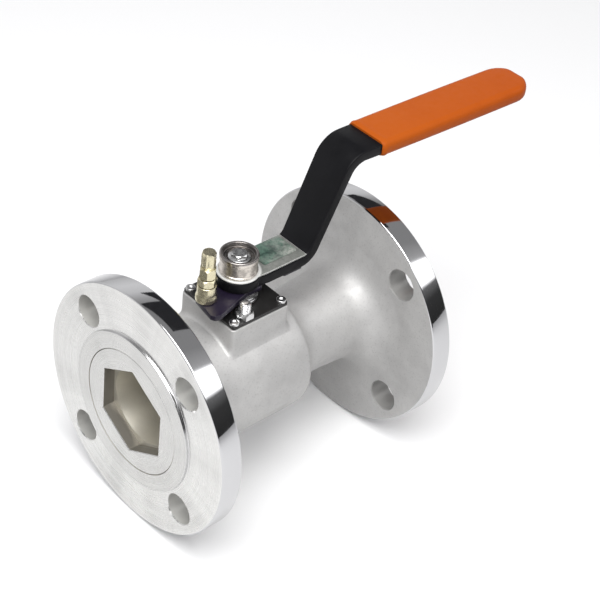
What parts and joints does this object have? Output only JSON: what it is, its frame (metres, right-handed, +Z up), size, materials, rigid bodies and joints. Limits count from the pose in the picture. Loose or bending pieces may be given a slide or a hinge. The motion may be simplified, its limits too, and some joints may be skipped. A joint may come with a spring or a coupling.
{
  "type": "flanged ball valve",
  "caption": "Flanged hand-lever ball valve with a screwed-in end piece; a quarter turn of the cranked lever turns the ball across the bore.",
  "frame": {"origin": "centre of the footprint, on the surface that the two flange rims stand on", "axes": "+X along the pipe axis and the open lever, away from the screwed-in end; +Z up the stem; +Y to the left, seen from the screwed-in end"},
  "size_m": [0.2924, 0.1524, 0.2018],
  "materials": {
    "cast_steel": "blasted stainless casting, matt, with turned flange faces and rims",
    "turned_steel": "bright turned",
    "stem_steel": "turned",
    "ball_steel": "polished",
    "ptfe": "waxy white",
    "o_ring_rubber": "matt black",
    "bright_zinc": "bright zinc plate",
    "yellow_zinc": "pale yellow zinc plate",
    "hub_steel": "turned, darkened",
    "black_plate": "black oxide, slightly purple",
    "black_lever": "satin black paint",
    "green_label": "blank teal label, worn",
    "orange_vinyl": "dipped vinyl, satin"
  },
  "bodies": {
    "housing": {"body": "cast_steel", "body_insert": "turned_steel", "body_seal": "ptfe", "insert_o_ring": "o_ring_rubber", "seat_front": "ptfe", "seat_rear": "ptfe", "thrust_washer": "ptfe", "packing_ring_lower": "ptfe", "packing_ring_middle": "ptfe", "packing_ring_upper": "ptfe", "packing_follower": "bright_zinc", "gland_plate": "black_plate", "gland_screw_front_left": "bright_zinc", "gland_screw_front_right": "bright_zinc", "gland_screw_rear_left": "bright_zinc", "gland_screw_rear_right": "bright_zinc", "stop_stud": "bright_zinc", "stop_stud_nut": "bright_zinc"},
    "lever_assembly": {"stem": "stem_steel", "spring_washer": "bright_zinc", "stem_nut": "bright_zinc", "stop_plate": "black_plate", "lock_bolt": "yellow_zinc", "lock_nut_upper": "yellow_zinc", "lock_nut_lower": "yellow_zinc", "lock_bolt_spacer": "yellow_zinc", "lever": "black_lever", "trim_plate": "bright_zinc", "lever_label": "green_label", "lever_hub": "hub_steel", "lever_bolt": "bright_zinc", "grip_sleeve": "orange_vinyl"},
    "ball_body": {"ball": "ball_steel"}
  },
  "joints": [
    {"name": "lever_turn", "type": "hinge", "parent": "housing", "child": "lever_assembly", "pos_m": [-0.07425, 0, 0.0762], "axis": [0, 0, 1], "range_deg": [-90, 0]},
    {"name": "ball_turn", "type": "hinge", "parent": "housing", "child": "ball_body", "pos_m": [-0.07425, 0, 0.0762], "axis": [0, 0, 1], "range_deg": [-90, 0]}
  ],
  "couplings": [
    {"joint": "ball_turn", "follows": "lever_turn", "ratio": 1}
  ]
}
